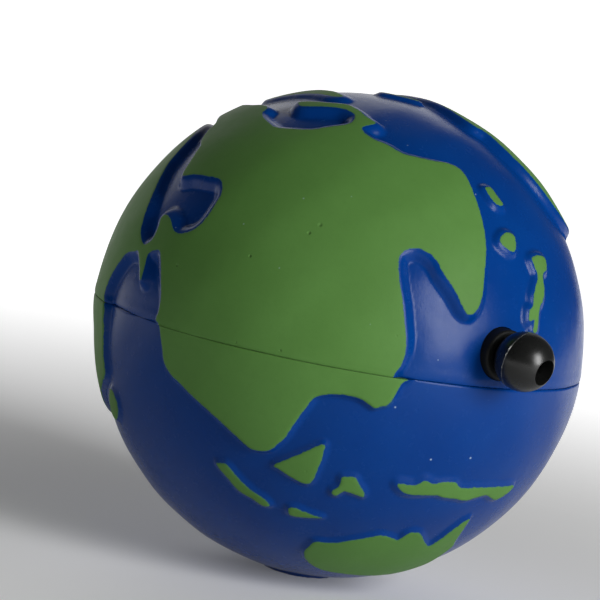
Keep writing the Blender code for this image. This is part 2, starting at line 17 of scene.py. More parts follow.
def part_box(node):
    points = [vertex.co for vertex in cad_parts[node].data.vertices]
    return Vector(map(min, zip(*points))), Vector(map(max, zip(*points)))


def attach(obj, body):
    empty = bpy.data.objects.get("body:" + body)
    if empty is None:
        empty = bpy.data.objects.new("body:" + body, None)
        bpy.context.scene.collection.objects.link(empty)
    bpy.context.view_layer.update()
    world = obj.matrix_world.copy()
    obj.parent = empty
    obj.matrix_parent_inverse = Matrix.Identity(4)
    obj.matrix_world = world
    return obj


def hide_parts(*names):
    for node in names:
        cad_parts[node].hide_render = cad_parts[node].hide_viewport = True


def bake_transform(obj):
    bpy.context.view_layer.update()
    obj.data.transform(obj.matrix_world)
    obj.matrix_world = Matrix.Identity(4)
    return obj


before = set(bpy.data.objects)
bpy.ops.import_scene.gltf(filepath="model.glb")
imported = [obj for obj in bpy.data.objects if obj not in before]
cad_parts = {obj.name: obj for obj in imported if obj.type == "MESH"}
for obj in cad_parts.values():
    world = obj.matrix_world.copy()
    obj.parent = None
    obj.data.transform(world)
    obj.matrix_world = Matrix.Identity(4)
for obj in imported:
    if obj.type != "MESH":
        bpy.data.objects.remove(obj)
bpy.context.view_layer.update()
MM = 0.001

# Ball
BALL_CENTRE = 37.2          # height of its centre
LAND_RADIUS = 38.2
OCEAN_RADIUS = 37.0
CELLS = 172                 # mesh cells along a quarter turn
SEAM_HALF = 0.03            # half the gap between the bonded halves
SEAM_ROWS = (0.05, 0.11, 0.19, 0.30, 0.44)   # extra mesh rows beside the seam, degrees
SEAM_DIP = {1: 0.17, -1: 0.10}               # how far each half's skin is rounded in at the seam
SEAM_ROUNDING = 0.32                         # how far from the seam that reaches
SEAM_FLASH = (-97, -66)     # where the halves left a low flash, degrees round the seam
RIPPLE = 0.035              # the skin's slow unevenness
CASE_CENTRE = (-0.5, -2.3)
POCKET = (35.6, 40.6, 8.3)  # the foam's pocket for the case: length, width, corner
POCKET_LEVELS = (-7.8, 10.7)

# The world map leans over the mould's seam
MAP_LEAN = radians(28)
MAP_TURN = radians(-37)
MAP_FRONT = 115.0           # longitude under the lean

# Cord, collar and bead
CORD_LEVEL = 5.0
CORD_RADIUS = 0.55
COLLAR_RADIUS = 3.75
COLLAR_FACE = 37.9
COLLAR_LENGTH = 2.6
COLLAR_CLEARANCE = 0.12
TUBE_RADIUS = 2.4
GUIDE_BORE = 1.1
GUIDE_NECK = 1.9            # where it passes through the case's wall
GUIDE_FLANGE = (3.0, 1.3)   # radius and thickness, inside the case
CASE_FACE = 17.0
CASE_WALL = 1.8
GAP = 0.3
BEAD_RADIUS = 4.3
BEAD_CENTRE = 41.7
BEAD_HOLE = 1.95
BEAD_WAIST = 1.0
BEAD_DROOP = radians(11)
BEAD_TURN = radians(12)
BEAD_AXIS = Vector((cos(BEAD_DROOP) * cos(BEAD_TURN), cos(BEAD_DROOP) * sin(BEAD_TURN), -sin(BEAD_DROOP)))
KNOT_ALONG = 0.7            # from the bead's centre along its bore
KNOT_SIZE = 0.255
KNOT_STRAND = 0.47
FLASH_ALONG = -0.5          # the bead's parting line, along its bore
FLASH_WIDTH = 0.055
BURR_TURN = 2.7             # radians round the bore
NICK_TURN = 3.4

# Drum
DRUM_AXIS = (-4.0, -8.8)
WINDING_RADIUS = 8.85
WINDING_LEVELS = (2.2, 7.8)
WINDING_TURNS = 5
WINDING_CLEARANCE = 0.03
SPRING_RADII = (1.975, 6.825)
SPRING_LEVELS = (2.5, 7.55)
SPRING_COILS = 5
SPRING_THICKNESS = 0.35
SPRING_EDGE = 0.08


# Coastlines, as longitude and latitude round the map. Where the mould's halves
# were finished separately the coast steps at the seam, so some runs differ.

EAST_AFRICA = [(50, -5), (47.5, -0.5), (45.5, 3.5), (43, 7.5), (40.5, 10.5), (40, 14.5), (40.5, 18.5),
               (41.5, 22.5), (44, 25), (45.5, 26), (48, 25.5), (50.5, 24.5), (53.5, 23), (52.5, 25),
               (50.5, 27.5), (50, 28.5), (52.5, 31), (55, 30.5), (59, 28), (62.5, 25), (64.5, 22)]
SOUTH_ASIA = [(65, 20), (66.5, 19.5), (69.5, 16), (71.5, 13), (74.5, 11.5), (78, 11), (84.5, 9.5),
              (89.5, 8), (93.5, 6.5), (97, 5), (99, 4.5), (102, 5.5), (104, 8), (105.5, 11), (106.5, 14),
              (108, 17.5), (109.5, 20.5), (112.5, 22), (115.5, 22.5), (118.5, 22.5), (120.5, 22),
              (122.5, 21), (123.5, 20.5), (125, 21), (126.5, 21.5)]
CHINA_COAST_UPPER = [(127, 24), (127, 28), (128.5, 30), (129.5, 33), (129.5, 36)]
CHINA_COAST_LOWER = [(127.5, 23), (128.5, 25), (129.5, 26.5), (131.5, 27.5), (133.5, 29), (132.5, 33),
                     (130.5, 36)]
NORTH_ASIA = [(129, 39.5), (128.5, 43), (127.5, 47), (127, 51), (127.5, 53.5), (130, 55), (134, 55.5),
              (138, 54.5), (141, 52.5), (143, 49), (145.5, 45.5), (147, 42), (147.5, 41), (148.5, 40),
              (150, 40), (152, 41), (154.5, 43.5), (158, 48), (162.5, 52.5), (167, 57), (171, 61),
              (175.5, 65), (180, 68), (-177.5, 70.5), (179.5, 73), (167.5, 76), (152.5, 78.5), (141, 80),
              (124.5, 82.5), (99.5, 83.5), (73.5, 84), (54, 84.5), (44.5, 86.5), (26.5, 88),
              (-0.5, 85.5), (-14, 82), (-15.5, 78.5), (-9, 75), (-3.5, 69), (-1, 68), (3.5, 70),
              (0.5, 74.5), (-3.5, 78.5), (-2, 81), (7.5, 83), (31, 83), (38.5, 81), (39, 78), (39, 74),
              (33.5, 70), (27.5, 66), (18, 63), (10, 61), (4, 61)]
EUROPE_AND_INNER_SEA = [(-1, 58), (-4, 54), (-9, 49), (-13, 45), (-11, 42.5), (-6, 43), (-1, 45), (5, 47),
                        (10, 46.5), (16.5, 46.5), (22, 47), (28.5, 45), (33.5, 43), (37, 46), (42.5, 49),
                        (47, 51), (51, 51), (55, 49.5), (57.5, 46), (58.5, 42.5), (57.5, 39.5),
                        (54.5, 37), (51.5, 36.5), (48, 37), (44.5, 36.5), (44, 35), (46, 33.5),
                        (47.5, 31), (46.5, 28.5), (44.5, 28), (41, 28.5), (38, 30), (33, 32.5), (26, 35),
                        (19, 37), (15, 38.5), (8, 40), (1, 39.5), (-6, 37.5)]
WEST_AFRICA = [(-12, 32), (-16, 26), (-18, 19), (-16, 12), (-10, 7), (-3, 5), (5, 6), (10, 3), (12, -4),
               (15, -13), (18, -22), (22, -29), (28, -32), (35, -29), (40, -22), (44, -15), (48, -9)]

AMERICAS = [(-107.5, 61.5), (-117, 58), (-127, 55), (-134.5, 50.5), (-139, 45), (-140.5, 39),
            (-139, 33.5), (-134.5, 28.5), (-127.5, 24), (-119, 18), (-111, 11), (-103, 7), (-95, 5),
            (-88, 1), (-85, -6), (-84, -14), (-81, -24), (-80, -35), (-77, -45), (-71, -50),
            (-67, -43), (-62, -35), (-53, -28), (-45, -19), (-42, -9), (-47, 0), (-58, 6), (-70, 10),
            (-80, 10), (-88, 14), (-95, 18), (-99, 24), (-94, 28), (-86, 28), (-82, 25), (-80, 31),
            (-75, 38), (-68, 43), (-66, 46), (-70, 50)]
ANTARCTICA = [(0, -72), (35, -71), (65, -71), (88, -68), (98, -63), (100, -59), (106, -56), (115, -54.5),
              (124, -56), (130, -59), (132, -63), (142, -68), (158, -72), (180, -75), (-150, -77),
              (-120, -74), (-95, -72), (-70, -68), (-60, -63), (-58, -67), (-58, -74), (-35, -78),
              (-15, -73)]

ISLANDS = {
    "north_japan": [(-172, 63.5), (-169, 62.5), (-170.5, 60), (-172, 58), (-175, 59), (-175.5, 60.5),
                    (-173.5, 63)],
    "middle_japan": [(175.5, 53.5), (178.5, 53), (180, 51.5), (177.5, 49.5), (175.5, 49), (173.5, 50),
                     (172, 52.5)],
    "south_chain": [(-178, 45), (-174.5, 44.5), (-171.5, 43), (-172, 41.5), (-174, 40.5), (-177, 40.5),
                    (180, 37.5), (177.5, 36), (175, 35), (171.5, 31), (170, 31.5), (171.5, 33.5),
                    (169.5, 34), (171, 36), (173, 36.5), (175, 38.5), (180, 41), (-179, 43)],
    "sumatra": [(91, -3.5), (92.5, -2.5), (93.5, -2.5), (96, -4.5), (99, -6.5), (102.5, -8), (104, -9),
                (104.5, -10), (103, -10.5), (100.5, -9.5), (97, -8.5), (94, -6)],
    "java": [(109, -9), (110.5, -8.5), (112.5, -9), (114.5, -9.5), (116.5, -10), (114.5, -10.5),
             (112, -11), (109.5, -11)],
    "borneo": [(104, 2), (106.5, 4.5), (110, 7.5), (113, 10), (114, 10), (114, 7.5), (113.5, 4), (113, 1),
               (112, -0.5), (110.5, -0.5), (107.5, 0.5), (105, 1.5)],
    "sulawesi": [(117.5, -1.5), (119, 0.5), (119, 2.5), (120, 3), (122, 3), (123, 1.5), (124.5, -0.5),
                 (124.5, -2), (123, -1.5), (121, -1), (120, -1), (118.5, -2.5)],
    "new_guinea": [(131.5, 2), (133, 2), (135.5, 1.5), (138, 2.5), (140, 1.5), (142.5, 1.5), (145.5, 1),
                   (147.5, -1), (153, -2.5), (159, -4.5), (164.5, -6.5), (164, -8), (161, -9), (159, -8.5),
                   (156, -6), (153, -5.5), (150, -5.5), (146.5, -4), (143.5, -3), (141.5, -2),
                   (138, -1.5), (135, -1), (133, 0)],
    "australia": [(114.5, -24.5), (115.5, -21), (116.5, -19), (120, -18.5), (125, -16.5), (129, -15),
                  (131.5, -14.5), (134.5, -16), (136, -16.5), (137.5, -14.5), (139, -14), (141, -15),
                  (143.5, -19), (145.5, -21), (147.5, -19), (150, -15.5), (153.5, -13), (153.5, -16),
                  (153.5, -20.5), (154, -23.5), (154.5, -25.5), (153.5, -30.5), (152, -36), (146, -39),
                  (137, -38), (128, -36), (120, -33.5), (115.5, -28.5)],
    "madagascar": [(53, -7.5), (56.5, -8), (57.5, -11), (55.5, -15), (52.5, -15.5), (51.5, -12)],
    "greenland": [(-19, 49), (-21, 57), (-24, 64), (-27, 70), (-33, 71), (-33, 64), (-30, 56), (-26, 49)],
    "arctic_island": [(-63.1, 62.2), (-71.1, 61.8), (-81.6, 62.2), (-80.6, 63.4), (-72, 64), (-64.2, 63.6)],
    "caribbean": [(-84, 21.5), (-77, 22), (-71, 19.5), (-75, 18), (-80, 19.5)],
}

COAST_SPACING = 0.12                # between the points that a coast is sampled at

# Where the moulded shore is wider than usual: longitude, latitude, reach in mm, width in mm.
# The extra width is full up to 0.6 of the reach, and gone at 1.6 of it.
WIDE_SHORES = ((134.0, 55.5, 6.0, 2.7), (128.0, 45.0, 8.0, 1.7), (54.0, 43.0, 11.0, 2.0),
               (135.0, 1.9, 3.5, 1.5), (20.0, 82.0, 12.0, 1.8))
SHORE_WIDTH = {1: 1.15, -1: 1.05}   # on the upper and lower halves
SHORE_INSET = {1: 0.1, -1: 0.25}    # how far inside the paint's edge the land starts to fall
SHOULDER = {1: 0.8, -1: 0.45}       # how square the shore's upper edge is, from 0 to 1

# How high the land stands over the ocean
MAINLAND_HEIGHT = 1.2
LOW_MAINLAND_HEIGHT = 0.8           # well below the seam
ISLAND_HEIGHT = {1: 0.65, -1: 0.5}
SEAM_REACH = 6.0                    # how far below the seam the mainland takes to sink that low

# Small marks that the mould and the spray mask left
DENTS = ((95.9, 56.7, 0.42), (93.5, 54.1, 0.36), (80.0, 43.8, 0.30), (61.6, 32.3, 0.34),
         (99.0, 28.4, 0.26), (88.0, 26.3, 0.22), (135.8, 39.5, 0.22), (97.0, 13.0, 0.24))
SPECKS = ((138.7, 7.7, 0.16), (148.9, 6.5, 0.17), (128.6, 20.6, 0.15), (131.0, 45.5, 0.10),
          (139.0, 31.0, 0.10), (106.5, 13.3, 0.18))
OVERSPRAY = (125.3, 22.6, 1.9)      # a thin patch of green mist beside the coast: place and reach

# Camera, in metres from the ball's centre
VIEW_FROM = Vector((0.77185, -0.62358, 0.12410)) * 0.444
VIEW_RIGHT = Vector((0.58927, 0.78785, 0.17902))
VIEW_UP = Vector((-0.20010, -0.07236, 0.97710))
VIEW_BACK = Vector((0.78276, -0.61160, 0.11501))
LENS = 174.0
SENSOR = 36.0

# Studio, with directions as right, up and towards the camera, and distances in metres
WORLD_DIM = 0.045
WORLD_BRIGHT = 1.03
BACKDROP_WAY = Vector((-0.24, 0.32, -0.92)).normalized()
BACKDROP_FADE = (0.76, 0.91)        # cosines of the angle from it, from dim to bright
FLOOR_GLOW = (0.08, 0.97)           # the floor's painted glow: dim near the ball, as a painted shadow round it, and bright far off where the floor meets the surroundings
FLOOR_GLOW_REACH = (0.05, 0.34)
FLOOR_REACH = 12.0
KEY_WAY = (0.745, 0.13, 0.655)
KEY_DISTANCE = 0.50
KEY_SIZE = (0.20, 0.29)
KEY_POWER = 0.64
KEY_SPREAD = radians(85)


# Places and meshes

def map_frame():
    """The map's own axes: its north pole leans over the seam."""
    return Matrix.Rotation(MAP_TURN, 3, "Z") @ Matrix.Rotation(MAP_LEAN, 3, "Y")


def on_map(longitude, latitude):
    """The direction from the ball's centre of a place on the map."""
    turn, rise = radians(longitude - MAP_FRONT), radians(latitude)
    return map_frame() @ Vector((cos(rise) * cos(turn), cos(rise) * sin(turn), sin(rise)))


def ball_point(longitude, latitude, radius=LAND_RADIUS):
    return on_map(longitude, latitude) * radius * MM + Vector((0, 0, BALL_CENTRE * MM))


def add_object(name, mesh, material, smooth_angle=None):
    item = bpy.data.objects.new(name, mesh)
    bpy.context.scene.collection.objects.link(item)
    mesh.materials.append(material)
    mesh.shade_smooth()
    if smooth_angle is not None:
        mesh.set_sharp_from_angle(angle=radians(smooth_angle))
    return item


def mesh_from_rings(name, rings, closed=False):
    """Joins rings of equal length with quads. An open stack gets a flat cap at each end."""
    count = len(rings[0])
    places = [tuple(p) for ring in rings for p in ring]
    faces = []
    for k in range(len(rings) if closed else len(rings) - 1):
        a, b = k * count, (k + 1) % len(rings) * count
        faces += [(a + i, a + (i + 1) % count, b + (i + 1) % count, b + i) for i in range(count)]
    if not closed:
        last = (len(rings) - 1) * count
        faces += [tuple(reversed(range(count))), tuple(range(last, last + count))]
    mesh = bpy.data.meshes.new(name)
    mesh.from_pydata(places, [], faces)
    work = bmesh.new()
    work.from_mesh(mesh)
    bmesh.ops.recalc_face_normals(work, faces=work.faces)
    work.to_mesh(mesh)
    work.free()
    return mesh


def lathe(name, profile, steps, place, axis):
    """A closed profile of (radius, along) turned about an axis."""
    turn = axis.to_track_quat("Z", "Y").to_matrix()
    rings = []
    for i in range(steps):
        angle = 2 * pi * i / steps
        rings.append([place + turn @ Vector((r * cos(angle), r * sin(angle), along)) * MM
                      for r, along in profile])
    return mesh_from_rings(name, rings, closed=True)


def softened(profile, radius, steps=4):
    """Rounds every corner of a closed profile by about the radius."""
    result = []
    for i, corner in enumerate(profile):
        corner = Vector(corner)
        before, after = Vector(profile[i - 1]), Vector(profile[(i + 1) % len(profile)])
        back, ahead = before - corner, after - corner
        bend = back.angle(-ahead)
        if bend < radians(18):
            result.append(tuple(corner))
            continue
        cut = min(radius, 0.45 * back.length, 0.45 * ahead.length)
        start, end = corner + back.normalized() * cut, corner + ahead.normalized() * cut
        for step in range(steps + 1):
            t = step / steps
            result.append(tuple(start * (1 - t) ** 2 + corner * 2 * t * (1 - t) + end * t ** 2))
    return result


def tube(name, path, radius, sides=14):
    """A round cord along a path of points in millimetres, with a UV that runs along and round it."""
    path = [Vector(p) for p in path]
    rings, up = [], None
    for i, point in enumerate(path):
        along = (path[min(i + 1, len(path) - 1)] - path[max(i - 1, 0)]).normalized()
        if up is None:
            up = along.orthogonal().normalized()
        up = (up - along * up.dot(along)).normalized()
        side = along.cross(up)
        rings.append([(point + (up * cos(2 * pi * k / sides) + side * sin(2 * pi * k / sides)) * radius) * MM
                      for k in range(sides)])
    mesh = mesh_from_rings(name, rings)
    travelled = [0.0]
    for a, b in zip(path, path[1:]):
        travelled.append(travelled[-1] + (b - a).length)
    layer = mesh.uv_layers.new(name="along")
    for face in mesh.polygons:
        indices = [mesh.loops[k].vertex_index for k in face.loop_indices]
        wraps = len(indices) == 4 and {v % sides for v in indices} == {0, sides - 1}
        for k, v in zip(face.loop_indices, indices):
            round_it = v % sides or (sides if wraps else 0)
            layer.data[k].uv = (travelled[v // sides], round_it / sides)
    return mesh


def rounded_rectangle(length, width, corner, centre, steps=12):
    points = []
    for quarter, (sx, sy) in enumerate(((1, 1), (-1, 1), (-1, -1), (1, -1))):
        middle = (centre[0] + sx * (length / 2 - corner), centre[1] + sy * (width / 2 - corner))
        for step in range(steps + 1):
            angle = pi / 2 * (quarter + step / steps)
            points.append((middle[0] + corner * cos(angle), middle[1] + corner * sin(angle)))
    return points


# Coasts

def smooth_closed(points, spacing):
    """A closed smooth line through unit vectors, sampled about every spacing millimetres."""
    count = len(points)
    line = []
    for i in range(count):
        p0, p1, p2, p3 = (points[(i + k) % count] for k in (-1, 0, 1, 2))
        steps = max(2, int((p2 - p1).length * OCEAN_RADIUS / spacing))
        for step in range(steps):
            t = step / steps
            place = 0.5 * ((2 * p1) + (p2 - p0) * t + (2 * p0 - 5 * p1 + 4 * p2 - p3) * t ** 2
                           + (3 * p1 - p0 - 3 * p2 + p3) * t ** 3)
            line.append(place.normalized())
    return line


def land_on_left(points):
    """Turns an outline so that the land is on the left as it is followed from outside."""
    middle = sum(points, Vector()).normalized()
    across = middle.orthogonal().normalized()
    along = middle.cross(across)
    flat = []
    for point in points:
        away = acos(max(-1.0, min(1.0, point.dot(middle))))
        side = point - middle * point.dot(middle)
        side = side.normalized() * away if side.length > 1e-9 else Vector()
        flat.append((side.dot(across), side.dot(along)))
    area = sum(a[0] * b[1] - b[0] * a[1] for a, b in zip(flat, flat[1:] + flat[:1]))
    return points if area > 0 else points[::-1]


def coast_samples(side):
    """Closely spaced points along every coast, with the way the coast runs at each."""
    china = CHINA_COAST_UPPER if side > 0 else CHINA_COAST_LOWER
    old_world = EAST_AFRICA + SOUTH_ASIA + china + NORTH_ASIA + EUROPE_AND_INNER_SEA + WEST_AFRICA
    mainlands = [old_world, AMERICAS, ANTARCTICA]
    places, headings, island = [], [], []
    for number, outline in enumerate([*mainlands, *ISLANDS.values()]):
        corners = land_on_left([on_map(*place) for place in outline])
        line = smooth_closed(corners, COAST_SPACING)
        count = len(line)
        places += line
        headings += [(line[(i + 1) % count] - line[i - 1]).normalized() for i in range(count)]
        island += [number >= len(mainlands)] * count
    return places, headings, island


def shore_distances(directions, side):
    """Millimetres from each direction to the nearest coast, positive on land, and whether that
    coast is an island's."""
    places, headings, island = coast_samples(side)
    tree = KDTree(len(places))
    for i, place in enumerate(places):
        tree.insert(place, i)
    tree.balance()
    result = np.empty(len(directions))
    on_island = np.zeros(len(directions), dtype=bool)
    half_step = COAST_SPACING / 2 / OCEAN_RADIUS
    for k, direction in enumerate(directions):
        place, i, _ = tree.find(direction)
        offset = Vector(direction) - place
        heading = headings[i]
        along = offset.dot(heading)
        inward = Vector(direction).cross(heading).dot(offset)
        beyond = max(0.0, abs(along) - half_step)
        on_island[k] = island[i]
        result[k] = (1 if inward > 0 else -1) * sqrt(max(0.0, offset.length_squared - along ** 2)
                                                     + beyond ** 2)
    return result * OCEAN_RADIUS, on_island


def land_height(shore, on_island, directions, side):
    """The relief over the ocean: flat land, then a rounded shoulder that steepens to the water."""
    width = np.full(len(shore), SHORE_WIDTH[side])
    for longitude, latitude, reach, wide in WIDE_SHORES:
        apart = np.linalg.norm(directions - np.array(on_map(longitude, latitude)), axis=1) * LAND_RADIUS
        share = np.clip(1.6 - apart / reach, 0, 1)
        width += (wide - width) * share * share * (3 - 2 * share)
    rise = np.clip(1 + (shore - SHORE_INSET[side]) / width, 0, 1)
    shoulder = 1 - (1 - rise) ** 2
    eased = rise * rise * (3 - 2 * rise)
    share = SHOULDER[side]
    height = np.full(len(shore), MAINLAND_HEIGHT)
    if side < 0:
        below = np.clip(-directions[:, 2] * OCEAN_RADIUS / SEAM_REACH, 0, 1)
        height -= (MAINLAND_HEIGHT - LOW_MAINLAND_HEIGHT) * below * below * (3 - 2 * below)
    height[on_island] = ISLAND_HEIGHT[side]
    return height * (share * shoulder + (1 - share) * eased)


# Foam halves

def half_shell(side):
    """Points and quads of half a ball, as one cap patch and four side patches."""
    quarter = pi / 4
    step = np.linspace(-quarter, quarter, CELLS + 1)
    a, b = np.meshgrid(np.tan(step), np.tan(step), indexing="ij")
    cap = np.stack([a, b, np.ones_like(a)], axis=-1)
    patches = [cap / np.linalg.norm(cap, axis=-1, keepdims=True)]
    seam = asin(SEAM_HALF / OCEAN_RADIUS)
    for turn in range(4):
        top = np.arctan(np.cos(step))[:, None]
        fine = np.radians(np.array((0.0,) + SEAM_ROWS))[None, :]
        share = np.linspace(0, 1, CELLS // 2 + 1)[None, 1:]
        rows = np.concatenate([np.broadcast_to(seam + fine, (len(step), fine.shape[1])),
                               seam + fine[:, -1:] + (top - seam - fine[:, -1:]) * share], axis=1)
        angle = step[:, None] + turn * pi / 2
        patches.append(np.stack([np.cos(rows) * np.cos(angle), np.cos(rows) * np.sin(angle),
                                 np.sin(rows)], axis=-1))
    points, quads, start = [], [], 0
    for patch in patches:
        wide, tall = patch.shape[:2]
        index = start + np.arange(wide * tall).reshape(wide, tall)
        quads.append(np.stack([index[:-1, :-1], index[1:, :-1], index[1:, 1:], index[:-1, 1:]],
                              axis=-1).reshape(-1, 4))
        points.append(patch.reshape(-1, 3))
        start += wide * tall
    points, quads = np.concatenate(points), np.concatenate(quads)
    points[:, 2] *= side
    _, first, merged = np.unique(np.round(points, 6), axis=0, return_index=True, return_inverse=True)
    return points[first], merged.reshape(-1)[quads]


def foam_body(side):
    """Half a ball with its flat seam face and its pocket for the case."""
    points, quads = half_shell(side)
    mesh = bpy.data.meshes.new("foam")
    mesh.from_pydata((points * OCEAN_RADIUS).tolist(), [], quads.tolist())
    work = bmesh.new()
    work.from_mesh(mesh)
    rim = [edge for edge in work.edges if edge.is_boundary]
    level = side * SEAM_HALF
    far = POCKET_LEVELS[1] if side > 0 else POCKET_LEVELS[0]
    outline = rounded_rectangle(*POCKET, CASE_CENTRE)
    near_ring = [work.verts.new((x, y, level)) for x, y in outline]
    far_ring = [work.verts.new((x, y, far)) for x, y in outline]
    mouth = [work.edges.new((near_ring[i - 1], near_ring[i])) for i in range(len(outline))]
    bmesh.ops.triangle_fill(work, use_beauty=True, use_dissolve=False, edges=rim + mouth)
    for i in range(len(outline)):
        work.faces.new((near_ring[i - 1], near_ring[i], far_ring[i], far_ring[i - 1]))
    work.faces.new(far_ring)
    bmesh.ops.recalc_face_normals(work, faces=work.faces)
    work.to_mesh(mesh)
    work.free()
    return mesh


def cut_guide_hole(item):
    """Opens the foam for the guide tube and its collar."""
    pocket_face = CASE_CENTRE[0] + POCKET[0] / 2
    back = COLLAR_FACE - COLLAR_LENGTH - GAP
    tube_hole, collar_hole = TUBE_RADIUS + GAP, COLLAR_RADIUS + COLLAR_CLEARANCE
    inner, outer = pocket_face - 2, LAND_RADIUS + 3   # well inside the pocket and well outside the ball
    steps = 72
    rings = []
    for x, radius in ((inner, tube_hole), (back, tube_hole), (back, collar_hole), (outer, collar_hole)):
        rings.append([(x, radius * cos(2 * pi * i / steps), CORD_LEVEL + radius * sin(2 * pi * i / steps))
                      for i in range(steps)])
    cutter = bpy.data.objects.new("guide_hole", mesh_from_rings("guide_hole", rings))
    bpy.context.scene.collection.objects.link(cutter)
    modifier = item.modifiers.new("guide_hole", "BOOLEAN")
    modifier.operation, modifier.object, modifier.solver = "DIFFERENCE", cutter, "EXACT"
    evaluated = item.evaluated_get(bpy.context.evaluated_depsgraph_get())
    mesh = bpy.data.meshes.new_from_object(evaluated)
    item.modifiers.clear()
    item.data = mesh
    bpy.data.objects.remove(cutter)


def seam_lip(azimuth, side):
    """How far the skin stands at the seam's edge: mostly rounded in, with a low flash in places."""
    wander = np.sin(3 * azimuth + 0.6) + 0.7 * np.sin(7 * azimuth + 2.1) + 0.5 * np.sin(17 * azimuth)
    start, end = SEAM_FLASH
    flash = np.clip((radians(end) - azimuth) / radians(8), 0, 1)
    flash = flash * np.clip((azimuth - radians(start)) / radians(10), 0, 1)
    beads = 0.5 + 0.5 * np.sin(azimuth * 260) * np.sin(azimuth * 71 + 1)
    return -SEAM_DIP[side] * (1 + 0.18 * wander) * (1 - flash) + flash * (0.05 + 0.05 * beads)


def make_foam_half(side, material):
    name = "foam_upper" if side > 0 else "foam_lower"
    item = add_object(name, foam_body(side), material)
    if side > 0:
        cut_guide_hole(item)
    mesh = item.data
    count = len(mesh.vertices)
    places = np.empty(count * 3)
    mesh.vertices.foreach_get("co", places)
    places = places.reshape(-1, 3)
    reach = np.linalg.norm(places, axis=1)
    skin = np.abs(reach - OCEAN_RADIUS) < 0.02
    directions = places[skin] / reach[skin][:, None]
    shore, on_island = shore_distances(directions, side)
    radius = OCEAN_RADIUS + land_height(shore, on_island, directions, side)

    from_seam = np.abs(directions[:, 2]) * OCEAN_RADIUS - SEAM_HALF
    azimuth = np.arctan2(directions[:, 1], directions[:, 0])
    radius += seam_lip(azimuth, side) * np.clip(1 - from_seam / SEAM_ROUNDING, 0, 1) ** 2
    if side > 0:   # the upper half is a shade fuller next to the seam
        radius += 0.05 * np.exp(-((from_seam - 0.9) / 0.7) ** 2)
    ripple = (np.sin(directions @ np.array((9.0, 4.0, -7.0)) * 2.1)
              + np.sin(directions @ np.array((-5.0, 11.0, 6.0)) * 1.7 + 1.3))
    radius += RIPPLE * ripple

    places[skin] = directions * radius[:, None]
    places[:, 2] = np.maximum(places[:, 2], -BALL_CENTRE)
    places[:, 2] += BALL_CENTRE
    mesh.vertices.foreach_set("co", (places * MM).reshape(-1))

    layer = mesh.attributes.new("shore", "FLOAT", "POINT")
    values = np.full(count, 3.0)   # faces inside the foam count as well inland
    values[skin] = np.clip(shore, -6, 6)
    layer.data.foreach_set("value", values)
    inside = mesh.attributes.new("raw_foam", "FLOAT", "POINT")
    inside.data.foreach_set("value", np.where(skin, 0.0, 1.0))

    mesh.set_sharp_from_angle(angle=radians(75))
    mark_seam_rim(mesh, reach, skin)
    mesh.update()
    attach(item, "root")
    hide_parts(f"{name}_half")
    return item


def mark_seam_rim(mesh, reach, skin):
    """Keeps a crisp edge where the skin turns in to the seam face."""
    ends = np.empty(len(mesh.edges) * 2, dtype=np.int64)
    mesh.edges.foreach_get("vertices", ends)
    ends = ends.reshape(-1, 2)
    height = np.empty(len(mesh.vertices) * 3)
    mesh.vertices.foreach_get("co", height)
    level = np.abs(height.reshape(-1, 3)[:, 2] / MM - BALL_CENTRE)
    rim = skin & (level < SEAM_HALF * 1.1)
    layer = mesh.attributes.get("sharp_edge") or mesh.attributes.new("sharp_edge", "BOOLEAN", "EDGE")
    sharp = np.zeros(len(mesh.edges), dtype=bool)
    layer.data.foreach_get("value", sharp)
    sharp |= rim[ends].all(axis=1)
    layer.data.foreach_set("value", sharp)


# Collar, cord, knot and bead

def cord_line(x):
    return Vector((x, 0.0, BALL_CENTRE + CORD_LEVEL))


def make_guide(material):
    """The tube from the case to its collar, with a flared mouth at each end."""
    inside, outside = CASE_FACE - CASE_WALL, CASE_FACE + GAP
    flange, thickness = GUIDE_FLANGE
    end, back = inside - thickness, COLLAR_FACE - COLLAR_LENGTH
    profile = [(GUIDE_BORE, inside - 0.6), (1.7, end), (flange, end), (flange, inside),
               (GUIDE_NECK, inside), (GUIDE_NECK, outside), (TUBE_RADIUS, outside), (TUBE_RADIUS, back),
               (COLLAR_RADIUS, back), (COLLAR_RADIUS, COLLAR_FACE), (2.6, COLLAR_FACE),
               (2.1, COLLAR_FACE - 0.35), (1.55, COLLAR_FACE - 1.1), (GUIDE_BORE, back)]
    smooth = softened(softened(profile, 0.55, steps=5), 0.08, steps=2)
    mesh = lathe("guide", smooth, 96, cord_line(0) * MM, Vector((1, 0, 0)))
    guide = add_object("moulded_guide", mesh, material, 40)
    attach(guide, "root")
    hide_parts("cord_guide")


def flash_height(turn):
    """The moulding flash round the bead: a low broken ridge with one burr and one nick."""
    ridge = 0.035 + 0.02 * sin(5 * turn) * sin(11 * turn + 1) + 0.012 * sin(37 * turn)
    ridge += 0.16 * exp(-((turn - BURR_TURN) / 0.07) ** 2)
    ridge += 0.07 * exp(-((turn - BURR_TURN - 0.24) / 0.05) ** 2)
    ridge += 0.08 * exp(-((turn - NICK_TURN) / 0.04) ** 2)
    return max(0.01, ridge)


